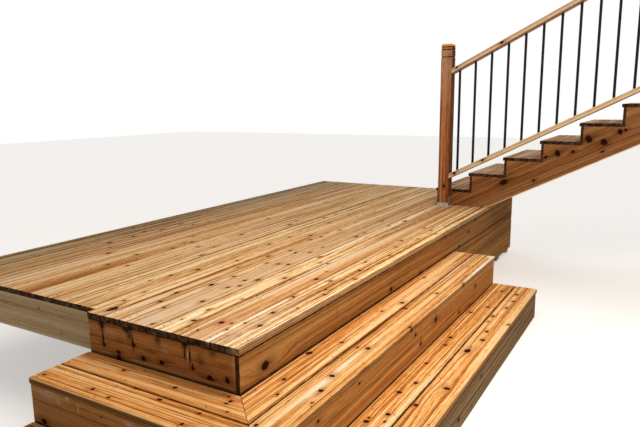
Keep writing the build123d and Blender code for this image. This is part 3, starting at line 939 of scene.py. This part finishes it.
# Painted shade lines along the facings, where they meet a tread or go under one: height above the
# facing's lower edge, half height and strength. The treads lap some of the facings.
paintedShadeLines = {
    "front_fascia_upper": (
        (0.059, 0.003, 2.0), (0.206, 0.004, 1.4), (0.210, 0.028, 0.4), (0.059, 0.020, 0.3),
    ),
    "end_fascia_lower": ((0.027, 0.002, 1.4),),
    "end_fascia_upper": ((0.129, 0.004, 1.6), (0.132, 0.024, 0.35)),
    "upper_step_front_riser": ((0.025, 0.003, 2.0), (0.185, 0.003, 0.7)),
    "lower_step_front_riser": ((0.0, 0.004, 1.5), (0.165, 0.003, 0.7)),
    "upper_step_side_riser_top": ((0.060, 0.003, 2.0), (0.0, 0.002, 0.8)),
    "upper_step_side_riser_lower": ((0.025, 0.003, 2.0),),
    "lower_step_side_riser": ((0.0, 0.004, 1.5), (0.165, 0.003, 1.5)),
}
# Lightness and redness of whole pieces, as the photograph has them.
tints = {
    "upper_step_side_treads": (0.98, 0.25),
    "lower_step_front_treads": (1.06, 0.06),
    "upper_step_front_riser": (1.32, 0.0),
    "lower_step_front_riser": (0.9, 0.0),
    "upper_step_front_treads": (1.0, 0.1),
    "end_fascia_upper": (1.24, 0.08),
    "end_fascia_lower": (0.98, 0.2),
    "top_rail": (1.22, 0.6),
    "bottom_rail": (1.03, 0.0),
}
screwPlaces = []  # filled by the boards as they are made


# Deck, steps and the flight's treads

deckMake = {
    "seed": 100,
    "notch": 0.046,  # how far a corner is let into the notched board
    "gap": 0.003,
    "paintedBackShade": 0.44,  # the last boards are painted darker, as painted shade
    "shadeFrom": 0.50,  # metres before the back edge, and over how far the painted shade comes on
    "shadeOver": 0.3,
    "tones": (  # lightness and redness of each board, from the front to the back
        (1.2, -0.15), (0.99, 0.35), (1.06, 0.0), (0.9, 0.42), (0.97, 0.22),
        (1.08, 0.05), (1.04, 0.1), (0.98, 0.2), (1.0, 0.15), (1.02, 0.17),
        (0.94, 0.27), (0.88, 0.2), (0.97, 0.1), (0.98, 0.05), (0.85, 0.1),
    ),
    "endPatch": 0.045,  # width of the bleached part of the corner board's end
    "endPatchGrain": 0.62,  # how much end grain it shows
}
treadMake = {
    "crossing": 0.05,  # bearers thinner than this along a tread cross it
    "paintedNoseShade": 0.62,  # painted shade on the side treads' narrow sides
    "flightTreads": 7,
    "flightSeed": 300,
}


def deckBoards():
    # Boards along the deck on the joists. One is notched round a corner, and those behind it start there.
    solids = solidsOf("deck_boards")
    starts = sorted({round(float(low[0]), 4) for low, high in solids})
    holds = [(low[0] + high[0]) / 2 for low, high in solidsOf("deck_joists") + solidsOf("deck_end_rim")]
    back = max(high[1] for low, high in solids)
    behind = min(low[1] for low, high in solids if low[0] > starts[0] + touching)
    parts = []
    for i, (low, high) in enumerate(sorted(solids, key=lambda box: box[0][1])):
        way, size = wayOf(low, high, 0, "+z")
        # Painted shade: the boards nearest the back edge are darker.
        shade = np.clip((low[1] - back + deckMake["shadeFrom"]) / deckMake["shadeOver"], 0, 1)
        lightness, redness = deckMake["tones"][i % len(deckMake["tones"])]
        tint = (lightness * (1.0 - deckMake["paintedBackShade"] * shade), redness)
        windows = [None]
        if low[0] < starts[0] + touching and abs(high[1] + deckMake["gap"] - behind) < touching:
            notch = starts[-1] - starts[0]
            windows = [(0, notch, 0, size[1] - deckMake["notch"]), (notch, size[0], 0, size[1])]
        screws = [x - low[0] for x in holds]
        parts += [seenBoard("deck_boards", way, size, "cedarDecking", deckMake["seed"] + i, tint=tint,
                            window=window, screws=screws, gapSides=(i > 1, i > 0)) for window in windows]
    centres = parts[0]["points"][parts[0]["faces"]].mean(1)
    low = parts[0]["points"].min(0)
    patch = (centres[:, 0] < starts[0] + touching) & (centres[:, 1] < low[1] + deckMake["endPatch"])
    parts[0]["endGrain"][patch] = deckMake["endPatchGrain"]
    woodPiece("deckBoards", parts, "cedarDecking", "cedar_decking", "deck_boards")


def treads(step, side, along):
    # Two boards side by side, mitred at the deck's corner, screwed to each bearer that crosses them.
    node = f"{step}_step_{side}_treads"
    solids = solidsOf(node)
    holds = [(low[along] + high[along]) / 2 for low, high in solidsOf(f"{step}_step_bearers")
             if high[along] - low[along] < treadMake["crossing"]]
    parts = []
    for i, (low, high) in enumerate(solids):
        way, size = wayOf(low, high, along, "+z")
        outer = low[1 - along] < min(a[1 - along] for a, b in solids) + touching
        screws = [x - low[along] for x in holds]
        part = seenBoard(node, way, size, "cedarTread", seedOf(pieceName(node)) + i, cuts=(1, 0),
                         screws=screws, gapSides=(not outer, outer), gapKey="paintedTreadGapShade")
        # The side treads' narrow sides get painted shade.
        if side == "side":
            part["tone"][part["side"] > 0, 0] *= treadMake["paintedNoseShade"]
        parts.append(part)
    woodPiece(pieceName(node), parts, "cedarTread", "cedar_decking", node)


deckBoards()
for step in ("upper", "lower"):
    for along, side in enumerate(("front", "side")):
        treads(step, side, along)
print("deck and steps made")

stringers = ("near_stringer", "middle_stringer", "far_stringer")
carriages = [(low[0] + high[0]) / 2 for node in stringers for low, high in solidsOf(node)]
for i in range(treadMake["flightTreads"]):
    boardPiece(f"flight_tread_{i + 1}", "cedar_decking", "cedarFlight", 0, "+z",
               seed=treadMake["flightSeed"] + 2 * i, holds=carriages, gapSides=(True, True))
print("flight treads made")

facings = (
    # CAD node, slot, look, grain axis, show face
    ("front_fascia_upper", "cedar_fascia", "cedarFascia", 0, "-y"),
    ("front_fascia_lower", "cedar_fascia", "cedarFascia", 0, "-y"),
    ("end_fascia_upper", "cedar_fascia", "cedarFascia", 1, "-x"),
    ("end_fascia_lower", "cedar_fascia", "cedarFascia", 1, "-x"),
    ("upper_step_front_riser", "cedar_fascia", "cedarFascia", 0, "-y"),
    ("upper_step_side_riser_top", "cedar_fascia", "cedarFascia", 1, "-x"),
    ("upper_step_side_riser_lower", "cedar_fascia", "cedarFascia", 1, "-x"),
    ("lower_step_front_riser", "cedar_fascia", "cedarSkirt", 0, "-y"),
    ("lower_step_side_riser", "cedar_fascia", "cedarFascia", 1, "-x"),
    ("upper_step_end_board", "cedar_fascia", "cedarFascia", 1, "+x"),
    ("lower_step_end_board", "cedar_fascia", "cedarFascia", 1, "+x"),
    ("flight_risers", "cedar_stringer", "cedarFascia", 0, "+y"),
    ("flight_header", "cedar_stringer", "cedarCarriage", 0, "-y"),
    ("header_post", "cedar_post", "cedarPost", 2, "-x"),
)
for facing in facings:
    boardPiece(*facing)
print("facings made:", len(facings))


# Carriages: planks sawn to carry the treads

carriageMake = {
    "seed": 500,
    "columns": 8,
    "bandRows": 5,
    "toothRows": 4,
    "paintedHighlightEdge": 0.010,  # how far the painted highlight on the lower edge fades up each side
    # strength of the painted highlight along the lower edge
    "paleAndHighlight": 2.2,
    "paintedUnderLight": 1.4,  # painted highlight: lightness of the lower edge's own face
    "longTurn": 0.05,  # a face that turns less than this towards the grain shows long grain
}


def carriageSide(node):
    # Side of a sawn carriage as quads of (y, z). Below the line through the inner corners the
    # rows are even; above it each tooth's rows shrink to that tooth's inner corner.
    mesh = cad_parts[node].data
    points = np.array([v.co[:] for v in mesh.vertices])
    corners = np.unique(np.round(points[points[:, 0] < points[:, 0].min() + touching][:, 1:], 5), axis=0)
    back, foot = corners.min(0)
    heel = corners[:, 0].max()
    toe = corners[corners[:, 1] < foot + touching][:, 0].min()
    lowEnd = corners[corners[:, 0] < back + touching][:, 1].min()
    levels = np.unique(np.round(corners[corners[:, 1] > foot + touching][:, 1], 4))
    levels = levels[np.abs(levels - lowEnd) > touching]
    slope = (lowEnd - foot) / (toe - back)  # of the bottom edge
    inners = [corners[np.abs(corners[:, 1] - level) < touching][:, 0].min() for level in levels[:-1]]
    noses = np.array([heel, *inners, back])
    rise = levels[1] - levels[0]
    quads = []
    u = np.linspace(0, 1, carriageMake["columns"] + 1)
    for nose, inner, level in zip(noses[:-1], noses[1:], levels):
        y = nose + u * (inner - nose)
        under = np.maximum(foot, foot + (toe - y) * slope)
        notch = np.maximum(under, level - (1 - u) * rise)
        for low, high, rows in ((under, notch, carriageMake["bandRows"]),
                                (notch, np.full_like(y, level), carriageMake["toothRows"])):
            strip = np.minimum(carriageMake["paintedHighlightEdge"], (high - low) / 2) if low is under else 0 * y
            z = (low + strip)[:, None] + (high - low - strip)[:, None] * np.linspace(0, 1, rows + 1)
            if low is under:
                z = np.concatenate([low[:, None], z], 1)
            grid = np.stack(np.broadcast_arrays(y[:, None], z), -1)
            corners = (grid[:-1, :-1], grid[:-1, 1:], grid[1:, 1:], grid[1:, :-1])
            quads.append(np.stack(corners, -2).reshape(-1, 4, 2))
    return np.concatenate(quads), slope, foot, toe


def slabOf(quads, xLow, xHigh):
    # Closed slab of a side pattern: both sides, and a quad from each edge that only one face has.
    # A quad with two corners in one place is a triangle, which says its last corner twice.
    flat, index = np.unique(np.round(quads.reshape(-1, 2), 5), axis=0, return_inverse=True)
    count = len(flat)
    side = []
    for corners in index.reshape(-1, 4).tolist():
        face = [c for c, following in zip(corners, corners[1:] + corners[:1]) if c != following]
        if len(face) > 2:
            side.append(face + face[-1:] * (4 - len(face)))
    side = np.array(side)
    starts, ends = side.ravel(), np.roll(side, -1, axis=1).ravel()
    pairs = {(a, b) for a, b in zip(starts.tolist(), ends.tolist()) if a != b}
    rim = np.array([(a, b) for a, b in pairs if (b, a) not in pairs])
    points = np.concatenate([np.column_stack([np.full(count, x), flat]) for x in (xLow, xHigh)])
    rimFaces = np.column_stack([rim[:, 1], rim[:, 0], rim[:, 0] + count, rim[:, 1] + count])
    other = side[:, ::-1].copy()
    triangles = side[:, 2] == side[:, 3]
    other[triangles] = side[triangles][:, [2, 1, 0, 0]]
    isRim = np.concatenate([np.zeros(2 * len(side)), np.ones(len(rim))])
    return points, np.concatenate([side, other + count, rimFaces]), isRim


def carriage(node, seed):
    # The plank's grain follows the slope of its long edges.
    look = "cedarCarriage"
    quads, slope, foot, toe = carriageSide(node)
    low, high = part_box(node)
    points, faces, isRim = slabOf(quads, low[0], high[0])
    faces = faces[:, ::-1]
    along = np.array([0, -1, slope]) / math.hypot(1, slope)
    normal = np.array([-1.0, 0, 0])
    across = np.cross(normal, along)
    corner = np.array([low[0], high[1], low[2]])
    local = points - corner
    vLow, vHigh = (local @ across).min(), (local @ across).max()
    way = (corner + vLow * across, along, across, normal)
    size = ((local @ along).max(), vHigh - vLow)
    rng = np.random.default_rng(seed)
    knots = scatteredKnots(*size, look, seenKnots(node, way, size), rng)
    turned = np.cross(points[faces[:, 1]] - points[faces[:, 0]], points[faces[:, 2]] - points[faces[:, 1]])
    isLong = np.abs(turned @ along) < carriageMake["longTurn"] * np.linalg.norm(turned, axis=1)
    bottom = foot + np.maximum(0, (toe - points[:, 1]) * slope)
    paintedHighlightRim = (points[:, 2] - bottom < touching) & (points[:, 2] > foot + touching)
    part = finishPart(points, faces, np.where(isLong, 0, isRim), np.zeros(len(points)), way, knots,
                      boardTone(rng, look), rng, cedarLooks[look]["aside"])
    # The lower edge gets a painted highlight, and its own face is painted lighter.
    part["stain"] = -carriageMake["paleAndHighlight"] * paintedHighlightRim
    part["tone"][isLong & (isRim > 0), 0] *= carriageMake["paintedUnderLight"]
    woodPiece(pieceName(node), [part], look, "cedar_stringer", node)


for i, node in enumerate(stringers):
    carriage(node, carriageMake["seed"] + i)
print("stringers made")


# Newel posts: square, eased, with a chamfered top and V grooves

newelMake = {
    "step": 0.05,
    "chamfer": 0.009,
    "grooveDrops": (0.023, 0.043, 0.100),  # below the top
    "grooveHalf": 0.005,
    "grooveDepth": 0.005,
    "paintedGrooveShade": 2.4,
    "bleachDrop": 0.12,
    "bleachHalf": (0.30, 0.2),
    "paleAndHighlight": -0.5,
    "paintedHighlightHead": 0.018,
    "darkSide": 0.5,
    "sideDepth": 0.002,
}


def newelPost(name, node):
    low, high = (np.array(corner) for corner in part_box(node))
    way, size = wayOf(low, high, 2, "-x")
    length = size[0]
    places = [(0, 0), (length - newelMake["chamfer"], 0), (length, newelMake["chamfer"])]
    for drop in newelMake["grooveDrops"]:
        for offset, inset in ((-1, 0), (0, newelMake["grooveDepth"]), (1, 0)):
            places.append((length - drop + offset * newelMake["grooveHalf"], inset))
    plain = length - max(newelMake["grooveDrops"]) - 2 * newelMake["grooveHalf"]
    places += [(s, 0) for s in np.linspace(0, plain, int(plain / newelMake["step"]) + 2)[1:]]
    places = np.array(sorted(places))
    middle = (length - newelMake["bleachDrop"], size[1] / 2)
    paleAndHighlit = (*middle, *newelMake["bleachHalf"], newelMake["paleAndHighlight"])
    part = seenBoard(node, way, size, "cedarPost", seedOf(name), stations=places[:, 0] / length,
                     inset=places[:, 1], marks=[paleAndHighlit])
    # The grooves get painted shade, the head gets a painted highlight and the side away from the light gets
    # painted shade.
    inGroove = (places[:, 1] > 0) & (places[:, 0] < length - newelMake["chamfer"])
    inGroove = np.repeat(inGroove, len(part["points"]) // len(places))
    part["stain"] = np.where(inGroove, newelMake["paintedGrooveShade"], part["stain"])
    middle = part["points"][part["faces"]].mean(1)
    part["endGrain"][middle[:, 2] > high[2] - newelMake["paintedHighlightHead"]] = 1
    part["tone"][middle[:, 1] < low[1] + newelMake["sideDepth"], 0] *= newelMake["darkSide"]
    woodPiece(name, [part], "cedarPost", "cedar_post", node)


newelPost("lowerNewel", "newel")
newelPost("upperNewel", "upper_newel")
print("newels made")


# Rails: boards on the flight's slope with plumb ends, and round black bars between them

railMake = {
    # painted light along the rail's side, as place up the side, half width and strength, the first two
    # as shares of the rail's depth: painted shade at the foot, a pale band of painted light low down
    # and a painted highlight along the top edge
    "bands": ((0.02, 0.05, 1.6), (0.36, 0.15, -1.5), (0.97, 0.07, -2.1)),
    "bandMiddle": 1,  # metres along the rail
    "bandHalf": 90,  # so long that a band doesn't fade
}
barMake = {
    "sides": 28,
    "rings": 6,
    "colours": ((0.35, "#050506"), (0.7, "#0e0f11")),
    "dust": (0.3, 0.7),
    "roughness": (0.42, 0.56),
    "specular": 0.2,
    "dustScale": 14.0,
    "peelScale": 900.0,
    "peel": 0.08,
    "peelDepth": 0.0003,
}


def slopingRail(node):
    # At height v across its side the plumb end lies v tan(slope) on along the rail.
    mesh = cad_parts[node].data
    points = np.array([v.co[:] for v in mesh.vertices])
    low, high = points.min(0), points.max(0)
    start = points[points[:, 1] > high[1] - touching][:, 2]
    rise = (high[2] - start.max()) / (high[1] - low[1])
    length = math.hypot(1, rise)
    thickness = (start.max() - start.min()) / length
    way = (np.array([low[0], high[1], start.min()]), np.array([0, -1, rise]) / length,
           np.array([0, rise, 1]) / length, np.array([-1.0, 0, 0]))
    size = ((high[1] - low[1]) * length, thickness, high[0] - low[0])
    # The side gets painted shade at its foot and painted light higher up.
    marks = [(railMake["bandMiddle"], thickness * place, railMake["bandHalf"], thickness * half, strength)
             for place, half, strength in railMake["bands"]]
    part = seenBoard(node, way, size, "cedarRail", seedOf(pieceName(node)), cuts=(rise, rise), marks=marks)
    woodPiece(pieceName(node), [part], "cedarRail", "cedar_rail", node)
    return rise


def powderCoat():
    # Satin black powder coat on tube: a fine orange peel that breaks up the gloss.
    material, tree, shader = newMaterial("blackPowderCoat")
    place = addNode(tree, "TexCoord", output=3)
    peel = addNode(tree, "TexNoise", {"Vector": place, "Scale": barMake["peelScale"], "Detail": 2.0})
    dust = addNode(tree, "TexNoise", {"Vector": place, "Scale": barMake["dustScale"], "Detail": 4.0})
    feed(tree, shader, {
        "Base Color": addNode(tree, "ValToRGB", dust, stops=barMake["colours"]),
        "Roughness": addNode(tree, "MapRange", dust, *barMake["dust"], *barMake["roughness"]),
        "Specular IOR Level": barMake["specular"],
        "Normal": addNode(tree, "Bump", {"Strength": barMake["peel"], "Distance": barMake["peelDepth"],
                                         "Height": peel}),
    })
    return material


def barsBetweenRails(rise):
    # Cylinder: x = cx + r cos a, y = cy + r sin a, and both ends follow the rails' slope.
    angle = np.linspace(0, 2 * math.pi, barMake["sides"], endpoint=False)
    t = np.linspace(0, 1, barMake["rings"])[:, None]
    oneBar, _ = ringFaces(barMake["rings"], barMake["sides"])
    points, faces = [], []
    for i, (low, high) in enumerate(solidsOf("balusters")):
        radius = (high[0] - low[0]) / 2
        cx, cy = (low[0] + high[0]) / 2, (low[1] + high[1]) / 2
        x, y = cx + radius * np.cos(angle), cy + radius * np.sin(angle)
        tilt = (cy - y) * rise
        bottom = low[2] + radius * rise + tilt
        top = high[2] - radius * rise + tilt
        points.append(np.stack(np.broadcast_arrays(x, y, bottom + t * (top - bottom)), -1).reshape(-1, 3))
        faces.append(oneBar[:, ::-1] + i * len(points[-1]))
    mesh = meshOf("balusters", np.concatenate(points), np.concatenate(faces))
    placePiece("balusters", mesh, powderCoat(), "black_metal", "balusters")


railRise = slopingRail("top_rail")
slopingRail("bottom_rail")
barsBetweenRails(railRise)
print("rails and bars made")


# Post base: hot-dip galvanised steel

zincMake = {
    "spangleScale": 160.0,  # crystals of 6 mm
    "colours": ((0.0, "#a9adb0"), (1.0, "#ccd0d2")),
    "roughness": (0.34, 0.52),
}


def galvanised():
    # Zinc spangle: crystals a few millimetres across that catch the light differently.
    material, tree, shader = newMaterial("galvanisedSteel")
    place = addNode(tree, "TexCoord", output=3)
    crystal = addNode(tree, "TexVoronoi", {"Vector": place, "Scale": zincMake["spangleScale"]}, output=1)
    crystal = addNode(tree, "SeparateColor", crystal)
    feed(tree, shader, {
        "Base Color": addNode(tree, "ValToRGB", crystal, stops=zincMake["colours"]),
        "Roughness": addNode(tree, "MapRange", crystal, 0.0, 1.0, *zincMake["roughness"]),
        "Metallic": 1.0,
    })
    return material


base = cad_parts["newel_base"].data
base.materials.clear()
base.materials.append(galvanised())


# Screws: coated deck screws, driven just below flush

screwMake = {
    "sides": 10,
    "profile": (  # radius and height in metres, from the middle outwards
        (0.0014, -0.0002), (0.0016, 0.0002), (0.0034, 0.0003), (0.0041, 0.0001), (0.0043, -0.0010)),
    "colours": ((0.35, "#2a1a10"), (0.7, "#5d4028")),
    "grimeScale": 300.0,
    "roughness": 0.7,
    "specular": 0.1,
}


def screwMaterial():
    # Brown ceramic-coated steel, dusty in its drive.
    material, tree, shader = newMaterial("coatedScrew")
    place = addNode(tree, "TexCoord", output=3)
    grime = addNode(tree, "TexNoise", {"Vector": place, "Scale": screwMake["grimeScale"], "Detail": 3.0})
    feed(tree, shader, {
        "Base Color": addNode(tree, "ValToRGB", grime, stops=screwMake["colours"]),
        "Roughness": screwMake["roughness"],
        "Specular IOR Level": screwMake["specular"],
    })
    return material


def screwHeads():
    # Profile turned about a vertical axis at each screw: centre + (r cos a, r sin a, h).
    angle = np.linspace(0, 2 * math.pi, screwMake["sides"], endpoint=False)
    radius, height = np.array(screwMake["profile"]).T[:, :, None]
    head = np.broadcast_arrays(radius * np.cos(angle), radius * np.sin(angle), height)
    head = np.stack(head, -1).reshape(-1, 3)
    oneHead, _ = ringFaces(len(radius), len(angle))
    points = (np.array(screwPlaces)[:, None, :] + head).reshape(-1, 3)
    faces = (oneHead + (np.arange(len(screwPlaces)) * len(head))[:, None, None]).reshape(-1, 4)
    placePiece("deckScrews", meshOf("deckScrews", points, faces), screwMaterial(), "galvanised_steel")


screwHeads()
print("screws made:", len(screwPlaces))


# Framing under the boards

bearerSeed = 700
lumberPieces = (
    # CAD node, grain axis, show face
    ("deck_joists", 1, "-x"),
    ("deck_front_rim", 0, "-y"),
    ("deck_end_rim", 1, "-x"),
    ("deck_ledger", 0, "-y"),
    ("deck_beam", 0, "-y"),
    ("deck_post_near", 2, "-y"),
    ("deck_post_middle", 2, "-y"),
    ("deck_post_far", 2, "-y"),
    ("skirt_cleats", 2, "-y"),
)
for node, along, face in lumberPieces:
    boardPiece(node, "framing_lumber", "framingLumber", along, face, fine=False)
for node in ("upper_step_bearers", "lower_step_bearers"):
    boardPiece(node, "framing_lumber", "framingLumber", seed=bearerSeed, fine=False)
print("framing made")

bpy.context.view_layer.update()
